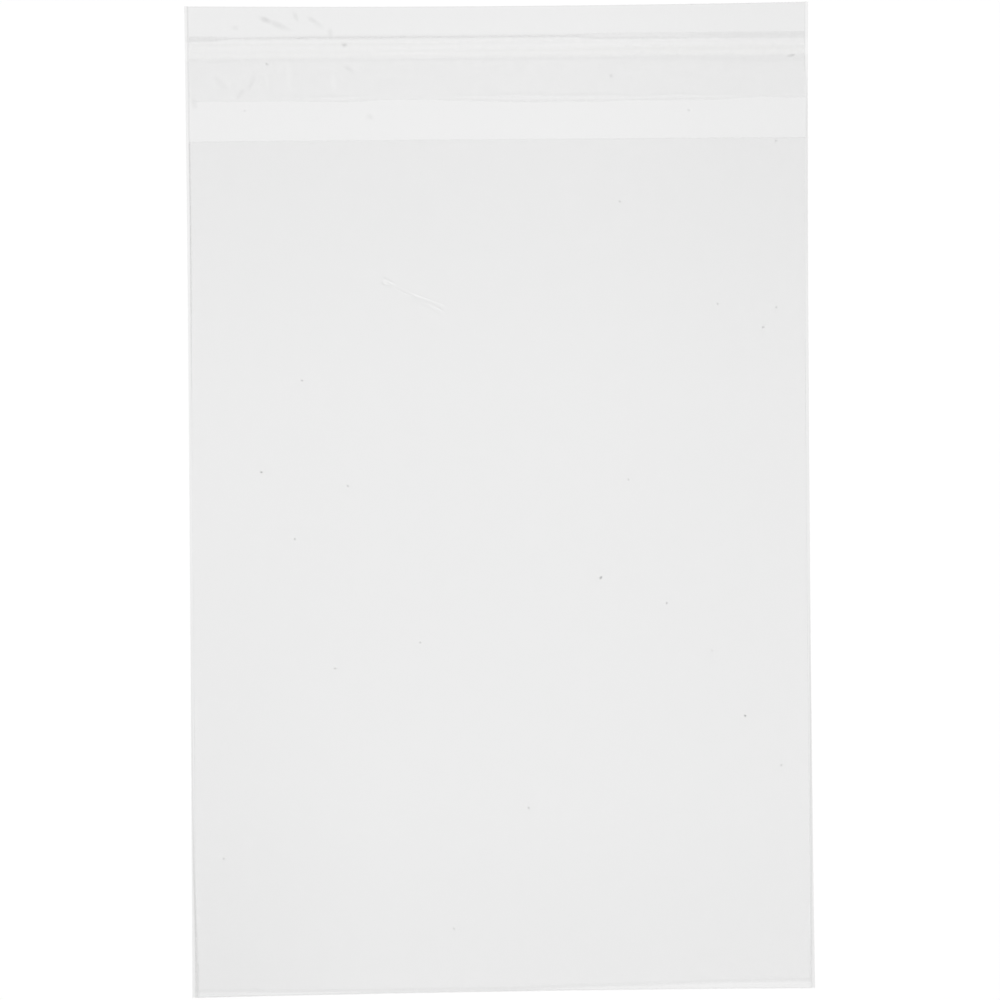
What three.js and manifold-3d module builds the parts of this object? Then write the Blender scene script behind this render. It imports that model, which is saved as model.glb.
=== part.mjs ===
// Clear self-seal card bag of polypropylene film, lying flat on its back panel.
// One blank of film is folded over at the bottom and welded along both sides. The longer panel runs on
// past the mouth as a flap, which carries a line of adhesive under a release liner with a free edge.
// Millimetres. +X across the bag, +Y from the bottom fold to the flap, +Z up from where it lies.

import * as THREE from 'three';
import { mergeVertices } from 'three/addons/utils/BufferGeometryUtils.js';
import Module from 'manifold-3d';

// Bag
const BAG_WIDTH = 120; // over the side welds
const POCKET_LENGTH = 164; // mouth to bottom fold, at the right-hand weld
const FOLD_RUNOUT = 1; // how much lower the fold ends at the left-hand weld
const FLAP_LENGTH = 26; // mouth to the cut end of the flap
const FILM_THICKNESS = 0.04;

// Space between the two panels
const WELD_OPENING = 0.04; // beside the welds
const FOLD_OPENING = 0.2; // just inside the bottom fold
const MOUTH_OPENING = 0.35; // in the middle of the mouth
const POCKET_RISE = 0.8; // added by the air left in the middle of the pocket
const PANEL_FLATNESS = 4; // power of the panel's arch from weld to weld

// Side welds, left by the hot knife as a low bead along each cut edge
const WELD_WIDTH = 0.6;
const WELD_CROWN = 0.05; // bead above the front panel beside it
const WELD_OVERHANG = 0.1; // bead past the film's own edge
const WELD_RUN_PAST = 0.05; // bead past the end of the bottom fold

// Self-seal tape on the flap
const TAPE_INSET = 6; // end of the flap to the liner's upper edge
const TAPE_END_GAP = 0.2; // weld bead to each end of the tape
const LINER_WIDTH = 12.4;
const LINER_THICKNESS = 0.05;
const ADHESIVE_INSET = 0.3; // liner's upper edge to the adhesive
const ADHESIVE_WIDTH = 4;
const ADHESIVE_THICKNESS = 0.05;
const ADHESIVE_SLOPE = 0.04; // how much each long edge of the adhesive leans in

// Wander of the tape's long edges, which part on the right
const SPLIT_START = 13; // where the two upper edges begin to part, from the middle of the bag
const SPLIT_END = 20;
const LINER_TOP_RISE = 0.17; // of the liner's upper edge past there
const ADHESIVE_TOP_DROP = 0.42; // of the adhesive's upper edge past there
const FOOT_BULGE = 0.5; // of the liner's lower edge, downwards, at a ripple's top
const FOOT_BULGE_SPREAD = 17;
const FOOT_RISE = 0.2; // of the liner's lower edge by its right-hand end
const FOOT_RISE_START = 38;
const FOOT_RISE_END = 50;

// Free edge of the liner, which ripples where it isn't stuck down
const LINER_LIFT = 0.12; // its lowest stretches above the stuck part
const LINER_RIPPLE = 0.4; // added at the top of a ripple
const RIPPLE_PITCH = 42;
const RIPPLE_CENTRE = 12.6; // a ripple's top, from the middle of the bag

// Mesh steps
const PANEL_STEPS_ACROSS = 20;
const PANEL_STEPS_ALONG = 18;
const FOLD_STEPS = 8;
const BEAD_STEPS = 8;
const TAPE_STEPS_ACROSS = 42;
const LINER_STEPS_ALONG = 6;

const MERGE_DISTANCE = 1e-5; // points closer than this are one point

const TOTAL_LENGTH = POCKET_LENGTH + FOLD_RUNOUT + WELD_RUN_PAST + FLAP_LENGTH;
const FLAP_END = TOTAL_LENGTH / 2;
const MOUTH = FLAP_END - FLAP_LENGTH;
const FILM_EDGE = BAG_WIDTH / 2 - WELD_OVERHANG;
const WELD_INNER_EDGE = BAG_WIDTH / 2 - WELD_WIDTH;
const WELD_HEIGHT = 2 * FILM_THICKNESS + WELD_OPENING + WELD_CROWN;
const TAPE_HALF_LENGTH = WELD_INNER_EDGE - TAPE_END_GAP;
const LINER_TOP = FLAP_END - TAPE_INSET;
const ADHESIVE_TOP = LINER_TOP - ADHESIVE_INSET;
const ADHESIVE_BOTTOM = ADHESIVE_TOP - ADHESIVE_WIDTH;
const LINER_FOOT = LINER_TOP - LINER_WIDTH;

const wasm = await Module();
wasm.setup();

const clearFilm = new THREE.MeshStandardMaterial({
  name: 'clear_film',
  color: 0xeceeee,
  roughness: 0.12,
  metalness: 0,
  transparent: true,
  opacity: 0.25,
});
const clearAdhesive = new THREE.MeshStandardMaterial({
  name: 'clear_adhesive',
  color: 0xefeee6,
  roughness: 0.35,
  metalness: 0,
  transparent: true,
  opacity: 0.3,
});
const clearLiner = new THREE.MeshStandardMaterial({
  name: 'clear_liner',
  color: 0xeaebea,
  roughness: 0.2,
  metalness: 0,
  transparent: true,
  opacity: 0.3,
});

// Evenly spaced values from the first to the last, both included.
function spaced(first, last, steps) {
  return Array.from({ length: steps + 1 }, (_, i) => first + ((last - first) * i) / steps);
}

// Closes a grid of paired points into a solid sheet. faces[0] is the sheet's lower or outer face and
// faces[1] the other one, each as a list of lines that run down the bag, set side by side along +X.
function sheetSolid(faces) {
  const rows = faces[0].length;
  const columns = faces[0][0].length;
  const points = faces.flat(2);
  const at = (face, row, column) => (face * rows + row) * columns + column;
  const triangles = [];
  const quad = (a, b, c, d) => triangles.push(a, d, c, a, c, b);
  for (let i = 0; i < rows - 1; i++) {
    for (let j = 0; j < columns - 1; j++) {
      quad(at(0, i, j), at(0, i, j + 1), at(0, i + 1, j + 1), at(0, i + 1, j));
      quad(at(1, i, j), at(1, i + 1, j), at(1, i + 1, j + 1), at(1, i, j + 1));
    }
    quad(at(0, i, 0), at(0, i + 1, 0), at(1, i + 1, 0), at(1, i, 0));
    quad(at(0, i + 1, columns - 1), at(0, i, columns - 1), at(1, i, columns - 1), at(1, i + 1, columns - 1));
  }
  for (let j = 0; j < columns - 1; j++) {
    quad(at(0, 0, j + 1), at(0, 0, j), at(1, 0, j), at(1, 0, j + 1));
    quad(at(0, rows - 1, j), at(0, rows - 1, j + 1), at(1, rows - 1, j + 1), at(1, rows - 1, j));
  }
  const geometry = new THREE.BufferGeometry();
  geometry.setAttribute('position', new THREE.Float32BufferAttribute(points.flatMap((p) => p.toArray()), 3));
  geometry.setIndex(triangles);
  geometry.computeVertexNormals();
  return geometry;
}

function toManifold(geometry) {
  const bare = geometry.clone();
  bare.deleteAttribute('normal');
  bare.deleteAttribute('uv');
  const merged = mergeVertices(bare, MERGE_DISTANCE);
  const mesh = new wasm.Mesh({
    numProp: 3,
    vertProperties: new Float32Array(merged.attributes.position.array),
    triVerts: new Uint32Array(merged.index.array),
  });
  return new wasm.Manifold(mesh);
}

function fromManifold(solid) {
  const mesh = solid.getMesh();
  const geometry = new THREE.BufferGeometry();
  geometry.setAttribute('position', new THREE.BufferAttribute(mesh.vertProperties, 3));
  geometry.setIndex(new THREE.BufferAttribute(mesh.triVerts, 1));
  geometry.computeVertexNormals();
  return geometry;
}

// The line of the bottom fold: square to the welds on the right, and running out on the left.
function foldLine(x) {
  const fromRight = (BAG_WIDTH / 2 - x) / BAG_WIDTH;
  return MOUTH - POCKET_LENGTH - FOLD_RUNOUT * fromRight ** 2;
}

// The space between the panels, along is 0 at the fold and 1 at the mouth.
function opening(x, along) {
  const arch = Math.max(0, 1 - (Math.abs(x) / WELD_INNER_EDGE) ** PANEL_FLATNESS);
  const ends = FOLD_OPENING * (1 - along) + MOUTH_OPENING * along;
  return WELD_OPENING + arch * (ends + POCKET_RISE * 4 * along * (1 - along));
}

// One face of the folded blank at one place across the bag, from the flap's end down the back panel,
// round the fold and up the front panel to the mouth. depth is the distance in from the outer face.
function foldedLine(x, depth) {
  const fold = foldLine(x);
  const bend = FILM_THICKNESS + opening(x, 0) / 2;
  const centre = fold + bend;
  const back = [FLAP_END, MOUTH].map((y) => new THREE.Vector3(x, y, depth));
  const round = spaced(-Math.PI / 2, Math.PI / 2, FOLD_STEPS).map((turn) => {
    const reach = bend - depth;
    return new THREE.Vector3(x, centre - reach * Math.cos(turn), bend + reach * Math.sin(turn));
  });
  const front = spaced(0, 1, PANEL_STEPS_ALONG).slice(1).map((along) => {
    const height = 2 * FILM_THICKNESS + opening(x, along);
    return new THREE.Vector3(x, centre + (MOUTH - centre) * along, height - depth);
  });
  return [...back, ...round, ...front];
}

// A low round bead with a flat base, from the bottom fold to the flap's end, beside one cut edge.
function weldBead(side) {
  const section = new THREE.Shape();
  const middle = side * (BAG_WIDTH / 2 - WELD_WIDTH / 2);
  section.absellipse(middle, 0, WELD_WIDTH / 2, WELD_HEIGHT, 0, Math.PI, false, 0);
  const start = foldLine((side * BAG_WIDTH) / 2) - WELD_RUN_PAST;
  const end = FLAP_END - WELD_OVERHANG;
  const bead = new THREE.ExtrudeGeometry(section, {
    depth: end - start,
    steps: 1,
    curveSegments: BEAD_STEPS,
    bevelEnabled: false,
  });
  bead.rotateX(Math.PI / 2);
  bead.translate(0, end, 0);
  return bead;
}

// Folded and welded film
function bagFilm() {
  const across = [
    -FILM_EDGE,
    ...spaced(-WELD_INNER_EDGE, WELD_INNER_EDGE, PANEL_STEPS_ACROSS),
    FILM_EDGE,
  ];
  const outer = across.map((x) => foldedLine(x, 0));
  const inner = across.map((x) => foldedLine(x, FILM_THICKNESS));
  const folded = toManifold(sheetSolid([outer, inner]));
  const welded = [-1, 1].reduce((film, side) => film.add(toManifold(weldBead(side))), folded);
  const film = new THREE.Mesh(fromManifold(welded), clearFilm);
  film.name = 'bag_film';
  return film;
}

// How far the tape's two upper edges have parted: 0 on the left, easing to 1 on the right.
function tapeSplit(x) {
  return THREE.MathUtils.smoothstep(x, SPLIT_START, SPLIT_END);
}

// Places across the bag where the tape's edges are set out.
function tapePlaces() {
  return spaced(-TAPE_HALF_LENGTH, TAPE_HALF_LENGTH, TAPE_STEPS_ACROSS);
}

// Line of adhesive laid on the flap's inner face, with its long edges leaning in
function adhesiveStrip() {
  const face = (lean, height) => tapePlaces().map((x) => {
    const top = ADHESIVE_TOP - ADHESIVE_TOP_DROP * tapeSplit(x);
    return [top - lean, ADHESIVE_BOTTOM + lean].map((y) => new THREE.Vector3(x, y, FILM_THICKNESS + height));
  });
  const line = sheetSolid([face(0, 0), face(ADHESIVE_SLOPE, ADHESIVE_THICKNESS)]);
  const strip = new THREE.Mesh(line, clearAdhesive);
  strip.name = 'adhesive_strip';
  return strip;
}

// Lower, cut edge of the liner: it bulges at a ripple's top and rises by its right-hand end.
function linerFoot(x) {
  const bulge = FOOT_BULGE * Math.exp(-(((x - RIPPLE_CENTRE) / FOOT_BULGE_SPREAD) ** 2));
  return LINER_FOOT - bulge + FOOT_RISE * THREE.MathUtils.smoothstep(x, FOOT_RISE_START, FOOT_RISE_END);
}

// Liner height over its stuck part: the free edge lifts as a square law and ripples along the tape.
function linerLift(x, share) {
  const ripple = (1 + Math.cos((2 * Math.PI * (x - RIPPLE_CENTRE)) / RIPPLE_PITCH)) / 2;
  return (LINER_LIFT + LINER_RIPPLE * ripple) * share ** 2;
}

// Release liner, stuck along its upper edge and free below it
function releaseLiner() {
  const base = FILM_THICKNESS + ADHESIVE_THICKNESS;
  const face = (height) => tapePlaces().map((x) => {
    const stuck = new THREE.Vector3(x, LINER_TOP + LINER_TOP_RISE * tapeSplit(x), base + height);
    const free = spaced(0, 1, LINER_STEPS_ALONG).map((share) => {
      const y = ADHESIVE_BOTTOM + (linerFoot(x) - ADHESIVE_BOTTOM) * share;
      return new THREE.Vector3(x, y, base + height + linerLift(x, share));
    });
    return [stuck, ...free];
  });
  const liner = new THREE.Mesh(sheetSolid([face(0), face(LINER_THICKNESS)]), clearLiner);
  liner.name = 'release_liner';
  return liner;
}

const bag = new THREE.Group();
bag.add(bagFilm(), adhesiveStrip(), releaseLiner());

export default bag;
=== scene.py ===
import math

import bpy
import numpy as np
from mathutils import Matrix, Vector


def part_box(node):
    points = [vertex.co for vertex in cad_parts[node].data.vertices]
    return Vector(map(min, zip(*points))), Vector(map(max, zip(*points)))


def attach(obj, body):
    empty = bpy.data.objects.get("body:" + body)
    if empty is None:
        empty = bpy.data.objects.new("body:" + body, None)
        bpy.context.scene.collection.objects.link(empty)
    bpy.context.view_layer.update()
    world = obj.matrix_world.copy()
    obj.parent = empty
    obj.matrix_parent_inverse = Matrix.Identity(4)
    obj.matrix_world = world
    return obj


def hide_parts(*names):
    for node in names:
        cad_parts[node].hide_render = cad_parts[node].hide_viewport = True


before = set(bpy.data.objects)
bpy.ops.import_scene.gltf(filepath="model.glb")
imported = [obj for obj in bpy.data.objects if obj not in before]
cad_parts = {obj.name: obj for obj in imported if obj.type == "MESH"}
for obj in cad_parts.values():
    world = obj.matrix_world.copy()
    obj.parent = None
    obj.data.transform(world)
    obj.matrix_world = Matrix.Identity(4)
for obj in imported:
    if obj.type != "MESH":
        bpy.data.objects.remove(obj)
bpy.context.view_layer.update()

# Bag film.
# One blank of clear polypropylene film, folded over at the bottom. The longer panel lies underneath
# and runs on past the mouth as the flap. A hot knife cuts and welds both sides, and leaves a low bead.

MM = 0.001

film_low, film_high = (np.array(corner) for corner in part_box("bag_film"))
half_width = film_high[0]
flap_end = film_high[1]
bag_length = film_high[1] - film_low[1]

film_gauge = 0.04 * MM
flap_length = 26 * MM
fold_runout = 1 * MM  # how much lower the bottom fold ends at the left-hand weld
flap_end_dip = 0.35 * MM  # how far the middle of the flap's cut end falls short of its corners
left_waist = 0.13 * MM  # how far each welded side bows in at mid length
right_waist = 0.33 * MM
flap_flare = 0.1 * MM  # how far each side spreads towards the flap's end
flare_start = 40 * MM  # height above the middle of the bag from which they spread
flap_curl = 0.5 * MM  # how far the corners of the flap's end stand off the table
flap_curl_middle = 0.45  # share of that in the middle of the end
flap_curl_start = 6 * MM  # above the mouth
flap_curl_length = 20 * MM
corner_curl = 0.3 * MM  # how far the bottom corners stand off the table
corner_curl_start = 65 * MM  # below the middle of the bag
corner_curl_length = 30 * MM

mouth = flap_end - flap_length
pocket_length = bag_length - flap_length - fold_runout

weld_width = 0.6 * MM
weld_height = 0.17 * MM
weld_lip = 0.02 * MM  # thickness left at the very edge of the bead
weld_inner = half_width - weld_width

weld_opening = 0.04 * MM  # space between the panels beside the welds
fold_opening = 0.2 * MM  # and just inside the bottom fold
mouth_opening = 0.35 * MM  # and in the middle of the mouth
pocket_rise = 0.8 * MM  # added by the air left in the middle of the pocket
panel_flatness = 4  # power of the front panel's arch from weld to weld
slack_waves = [  # of the front panel: height, pitch across and pitch up in mm, and phase
    (0.055, 62, 27, 0.4),
    (0.045, -37, 72, 1.9),
    (0.035, 21, -159, 4.1),
    (0.025, 17, 45, 2.6),
]

pinch_start = np.array([-21.9, 42.4]) * MM  # a pinched dent in the front panel, from end to end
pinch_end = np.array([-10.4, 36.0]) * MM
pinch_slope = 0.6  # of the flanks of its two ridges
pinch_reach = 0.46 * MM  # half width of a full-sized ridge
pinch_crest = 0.05 * MM  # how far each crest is rounded
pinch_along = [0, 0.1, 0.2, 0.28, 0.4, 0.52, 0.67, 0.8, 0.9, 1]  # shares of its length for the next lists
pinch_upper_aside = np.array([-0.12, 0.0, 0.1, 0.15, 0.2, 0.22, 0.55, 0.9, 1.06, 0.97]) * MM
pinch_upper_size = [1.3, 0.85, 0.45, 0.58, 0.48, 0.75, 0.7, 0.48, 0.8, 0.2]
pinch_lower_aside = np.array([-0.12, -0.42, -0.62, -0.71, -0.5, -0.35, -0.17, -0.04, -0.06, -0.1]) * MM
pinch_lower_size = [1.3, 0.5, 0.5, 0.75, 0.6, 0.6, 0.6, 0.6, 0.75, 0.5]

panel_columns = 31  # of the film's mesh
pocket_rows = 45
flap_steps = 27
fold_steps = 8
pinch_mesh_step = 0.17 * MM
pinch_mesh_margin = 1 * MM
bead_columns = 21
bead_mesh_width = 2 * MM  # of the closer columns along each side
fold_mesh_length = 3 * MM  # of the closer rows by the bottom fold
fold_mesh_step = 0.25 * MM
mouth_mesh_rows = np.array([0.05, 0.25, 0.5, 0.8, 1.2]) * MM  # below the mouth
cut_end_mesh_length = 0.6 * MM
cut_end_mesh_step = 0.1 * MM
hair = 1e-6  # far less than any step of the mesh


def rise(value, start, end):
    """0 before start and 1 after end, easing between them as a cubic."""
    share = np.clip((value - start) / (end - start), 0, 1)
    return share * share * (3 - 2 * share)


def bell(away, width):
    """1 in the middle, falling to a third at that width, as a bell curve."""
    return np.exp(-((away / width) ** 2))


def fold_line(x):
    """Place of the bottom fold: square to the right-hand weld, falling away to the left as a square law."""
    from_right = (half_width - x) / (2 * half_width)
    return mouth - pocket_length - fold_runout * from_right**2


def arch(x):
    """How freely the front panel rises: 1 in the middle, 0 at the welds, falling as a fourth power."""
    return np.maximum(0, 1 - np.abs(x / weld_inner) ** panel_flatness)


def opening(x, share):
    """Space between the panels, at a share of the way from fold to mouth: a low arch both ways."""
    ends = fold_opening * (1 - share) + mouth_opening * share
    return weld_opening + arch(x) * (ends + pocket_rise * 4 * share * (1 - share))


def front_waves(x, y):
    """Slack waves of the front panel: four long sine waves that cross at different angles."""
    height = 0
    for size, pitch_x, pitch_y, phase in slack_waves:
        turns = x / (pitch_x * MM) + y / (pitch_y * MM)
        height = height + size * MM * np.sin(2 * np.pi * turns + phase)
    return height * arch(x)


def pinch_ridges(x, y):
    """Distance aside from each of the dent's two crests, and the ridge's size there, 0 past its ends."""
    run = pinch_end - pinch_start
    length = np.hypot(*run)
    along = ((x - pinch_start[0]) * run[0] + (y - pinch_start[1]) * run[1]) / length**2
    aside = ((y - pinch_start[1]) * run[0] - (x - pinch_start[0]) * run[1]) / length
    inside = np.clip(along, 0, 1)
    ends = bell((along - inside) * length, pinch_reach)
    return [
        (aside - np.interp(inside, pinch_along, crest), ends * np.interp(inside, pinch_along, size))
        for crest, size in ((pinch_upper_aside, pinch_upper_size), (pinch_lower_aside, pinch_lower_size))
    ]


def pinch_height(x, y):
    """Height of the dent's ridges: straight flanks up to a rounded crest, as high as each one's size."""
    height = 0
    for aside, size in pinch_ridges(x, y):
        height = np.maximum(height, pinch_slope * (pinch_reach * size - np.hypot(aside, pinch_crest)))
    return height


def cut_end(x):
    """Place of the flap's cut end, which dips in the middle as a square law."""
    return flap_end - flap_end_dip * (1 - (x / half_width) ** 2)


def bend_centre(x):
    """Middle of the half circle that the film turns round at the bottom fold."""
    return fold_line(x) + film_gauge + opening(x, 0) / 2


def front_lining(x, y):
    """Height of the front panel's inner face: the pocket's arch, the slack waves and the pinched dent."""
    share = (y - bend_centre(x)) / (mouth - bend_centre(x))
    return film_gauge + opening(x, share) + front_waves(x, y) + pinch_height(x, y)


def bead_top(x):
    """Upper face of the weld bead: half an ellipse across each side's weld, nothing elsewhere."""
    place = (np.abs(x) - (half_width - weld_width / 2)) / (weld_width / 2)
    crown = weld_height * np.sqrt(np.maximum(0, 1 - place**2))
    return np.maximum(crown, weld_lip * (place > 0))


def rest_lift(x, y):
    """How far the bag stands off the table: the flap's end and the corners curl up as square laws."""
    flap = flap_curl * np.clip((y - mouth - flap_curl_start) / flap_curl_length, 0, 1) ** 2
    corners = corner_curl * np.clip((-y - corner_curl_start) / corner_curl_length, 0, 1) ** 2
    out = (x / half_width) ** 2
    return flap * (flap_curl_middle + (1 - flap_curl_middle) * out) + corners * out


def settle(x, y, z):
    """Points of the bag as it lies: its sides bow in and flare by the flap, and it curls off the table."""
    bow = 1 - (2 * y / bag_length) ** 2
    waist = np.where(x < 0, left_waist, right_waist)
    spread = flap_flare * rise(y, flare_start, flap_end) - waist * bow
    return np.stack([x * (1 + spread / half_width), y, z + rest_lift(x, y)], axis=-1)


def film_columns():
    """Places across the bag: even steps, with closer ones through the pinched dent and over the beads."""
    even = np.linspace(-weld_inner, weld_inner, panel_columns)
    dent = np.arange(pinch_start[0] - pinch_mesh_margin, pinch_end[0] + pinch_mesh_margin, pinch_mesh_step)
    bead = half_width - np.linspace(0, bead_mesh_width, bead_columns)
    return np.unique(np.round(np.concatenate([even, dent, bead, -bead]), 7))


def film_rows():
    """Shares along the pocket, 0 at the fold and 1 at the mouth, closer by both and through the dent."""
    even = np.linspace(0, 1, pocket_rows)
    fold = np.arange(0, fold_mesh_length, fold_mesh_step) / pocket_length
    dent_top = mouth - pinch_start[1] - pinch_mesh_margin
    dent_foot = mouth - pinch_end[1] + pinch_mesh_margin
    dent = 1 - np.arange(dent_top, dent_foot, pinch_mesh_step) / pocket_length
    lip = 1 - mouth_mesh_rows / pocket_length
    return np.unique(np.round(np.concatenate([even, fold, dent, lip]), 5))


def flap_rows():
    """Shares along the flap, from 1 at its cut end down to the mouth, closer by the cut end."""
    even = np.linspace(1, 0, flap_steps)[:-1]
    close = 1 - np.arange(0, cut_end_mesh_length, cut_end_mesh_step) / flap_length
    return np.unique(np.round(np.concatenate([even, close]), 5))[::-1]


back_haze = 0.163  # of the back panel; the front one is clear but for what is added below
flap_end_haze = 0.012
flap_end_haze_start = 12 * MM  # above the mouth
# painted shade: the front panel darker towards the mouth
mouth_shade = 0.035
mouth_shade_reach = 55 * MM
mouth_line_haze = 0.02  # in the thin line along the mouth's cut edge
mouth_line_width = 0.4 * MM
# painted shade: the front panel darker towards the bottom fold
fold_shade = 0.032
fold_shade_reach = 45 * MM
pinch_shade = 0.05  # painted shade in the dark lines along the feet of the dent's ridges
pinch_shade_apart = 0.5 * MM  # least distance of those lines from a crest
pinch_shade_width = 0.2 * MM
cut_end_haze = 0.05  # in the thin line along the flap's cut end
cut_end_line_width = 0.15 * MM
# painted shade: the back panel and the flap darker towards each side
side_shade_left_start = 20 * MM  # from the middle of the bag
side_shade_right_start = 10 * MM
side_shade_up = np.array([-95, 0, 70]) * MM  # heights for the next two lists
side_shade_left = [0.042, 0.005, 0.005]
side_shade_right = [0.01, 0.015, 0.03]

fold_band_across = np.array([-57, -50, -42, -25, -14, 0, 12, 19, 29, 39, 60]) * MM  # for the next lists
fold_band_width = np.array([0.9, 0.75, 0.5, 0.2, 0.1, 0.05, 0.35, 0.55, 0.65, 1.0, 1.3]) * MM
# painted highlight along the bottom fold: share of the haze taken away in the band
fold_band_highlight = [0.1, 0.18, 0.25, 0.08, 0.1, 0.0, 0.25, 0.26, 0.3, 0.36, 0.28]
fold_line_haze = [0.035, 0.035, 0.035, 0.05, 0.07, 0.06, 0.04, 0.035, 0.035, 0.035, 0.035]
fold_band_edge = 0.2 * MM  # half width of the band's soft edge
fold_line_above = 0.4 * MM  # from the band's edge to the middle of the dark line
fold_line_width = 0.35 * MM

weld_up = np.array([-90, -83, -73, -58, -38, -11, 16, 38, 54, 69, 70, 79, 83, 95]) * MM  # for the next lists
weld_left_line = [0.16, 0.2, 0.235, 0.1, 0.03, 0, 0.07, 0.18, 0.2, 0.21, 0.1, 0.12, 0.13, 0.15]
weld_left_inset = np.array([
    0.93, 0.68, 0.42, 0.25, 0.22, 0.4, 0.45, 0.6, 0.68, 0.62, 0.58, 0.58, 0.58, 0.6]) * MM
weld_right_line = [0.08, 0.11, 0.13, 0.16, 0.11, 0, 0, 0, 0.08, 0.06, 0.09, 0.08, 0.1, 0.06]
weld_right_inset = np.array([
    0.72, 0.5, 0.4, 0.33, 0.22, 0.27, 0.3, 0.3, 0.3, 0.3, 0.3, 0.32, 0.64, 0.62]) * MM
weld_line_width = 0.15 * MM
weld_line_spread = 0.2 * MM  # more of it at the bottom corners
weld_spread_down = (75 * MM, 92 * MM)  # below the middle of the bag
bead_haze_pale = 0.14  # where the bead is seen as a pale border
bead_haze_full = 0.19
bead_pale_left = (-40 * MM, 15 * MM)  # heights between which the left-hand bead turns pale
bead_pale_right = (72 * MM, 86 * MM)
bead_haze_edge = 0.1 * MM


def panel_haze_and_shade(x, y, front, flap, from_fold):
    """Haze of the panels: most in the back one, a little more by the flap's end and the cut edges, painted
    shade towards the mouth, the fold and the sides, and painted shade in dark lines by the dent.
    """
    # painted shade towards each side
    left = np.interp(y, side_shade_up, side_shade_left) * rise(-x, side_shade_left_start, half_width)
    right = np.interp(y, side_shade_up, side_shade_right) * rise(x, side_shade_right_start, half_width)
    haze = ~front * (back_haze + left + right)
    haze = haze + flap * flap_end_haze * rise(y, mouth + flap_end_haze_start, flap_end)
    haze = haze + flap * cut_end_haze * bell(cut_end(x) - y, cut_end_line_width)
    # painted shade towards the mouth
    haze = haze + front * mouth_shade * rise(from_fold, pocket_length - mouth_shade_reach, pocket_length)
    haze = haze + front * mouth_line_haze * bell(pocket_length - from_fold, mouth_line_width)
    # painted shade in lines beside the dent's ridges
    for aside, size in pinch_ridges(x, y):
        foot = np.maximum(pinch_reach * size, pinch_shade_apart)
        strength = pinch_shade * np.minimum(size, 1) ** 2
        haze = haze + front * strength * bell(np.abs(aside) - foot, pinch_shade_width)
    # painted shade towards the bottom fold
    return haze + front * fold_shade * (1 - rise(from_fold, 0, fold_shade_reach))


def film_haze_and_painted_light(x, y, down):
    """Share of the light that the film greys, at a place on the bag and a distance down the blank.

    To the panels' haze come a painted highlight that clears a band along the bottom fold, with a dark line
    above it, the beads, and a dark line that follows the inside of each bead.
    """
    from_fold = np.abs(down - flap_length - pocket_length)
    front = down > flap_length + pocket_length
    flap = down < flap_length + hair
    band = np.interp(x, fold_band_across, fold_band_width)
    in_band = 1 - rise(from_fold, band - fold_band_edge, band + fold_band_edge)
    # painted highlight along the bottom fold
    clear = np.interp(x, fold_band_across, fold_band_highlight) * in_band
    haze = panel_haze_and_shade(x, y, front, flap, from_fold) * (1 - clear)
    dark = np.interp(x, fold_band_across, fold_line_haze)
    haze = haze + front * dark * bell(from_fold - band - fold_line_above, fold_line_width)
    upper = front | flap
    left = x < 0
    from_edge = half_width - np.abs(x)
    pale = np.where(left, rise(y, *bead_pale_left), rise(y, *bead_pale_right))
    bead = bead_haze_full + (bead_haze_pale - bead_haze_full) * pale
    haze = haze + upper * (bead - haze) * (1 - rise(from_edge, weld_width, weld_width + bead_haze_edge))
    strength = np.where(left, np.interp(y, weld_up, weld_left_line), np.interp(y, weld_up, weld_right_line))
    inset = np.where(left, np.interp(y, weld_up, weld_left_inset), np.interp(y, weld_up, weld_right_inset))
    width = weld_line_width + weld_line_spread * rise(-y, *weld_spread_down)
    return haze + upper * strength * bell(from_edge - inset, width)


def film_skins():
    """The film's two faces as grids of points, with the haze, painted shade and highlight among it, at each
    point, and the mouth's row.

    Both run from the flap's end down the back panel, round the fold as a half circle and up the front
    panel to the mouth. The outer skin is the under face of the back and the upper face of the front.
    """
    share = film_rows()[:, None]
    x = film_columns()[None, :]
    bend = film_gauge + opening(x, 0) / 2
    pocket_y = bend_centre(x) + (mouth - bend_centre(x)) * share
    flap_share = flap_rows()[:, None]
    flap_y = mouth + (cut_end(x) - mouth) * flap_share
    turn = np.linspace(-np.pi / 2, np.pi / 2, fold_steps)[1:-1, None]
    lining = front_lining(x, pocket_y)

    def skin(flap, back, front, reach):
        fold_y = bend_centre(x) - reach * np.cos(turn)
        fold_z = bend + reach * np.sin(turn)
        y = np.concatenate([flap_y, pocket_y[::-1], fold_y, pocket_y])
        z = np.concatenate([flap + 0 * flap_y, back + 0 * pocket_y, fold_z, front])
        return x + 0 * y, y, z

    outer = skin(0, 0, np.maximum(lining + film_gauge, bead_top(x)), bend)
    inner = skin(np.maximum(film_gauge, bead_top(x)), film_gauge, lining, bend - film_gauge)
    down = np.concatenate([
        flap_length * (1 - flap_share),
        flap_length + pocket_length * (1 - share[::-1]),
        flap_length + pocket_length + hair * turn,
        flap_length + pocket_length * (1 + share),
    ])
    return settle(*outer), settle(*inner), film_haze_and_painted_light(*outer[:2], down), len(flap_share)


def strips(a, b, c, d):
    """Four-sided faces whose corners are the matching entries of four arrays of point numbers."""
    return np.stack([a, b, c, d], axis=-1).reshape(-1, 4).tolist()


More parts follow.
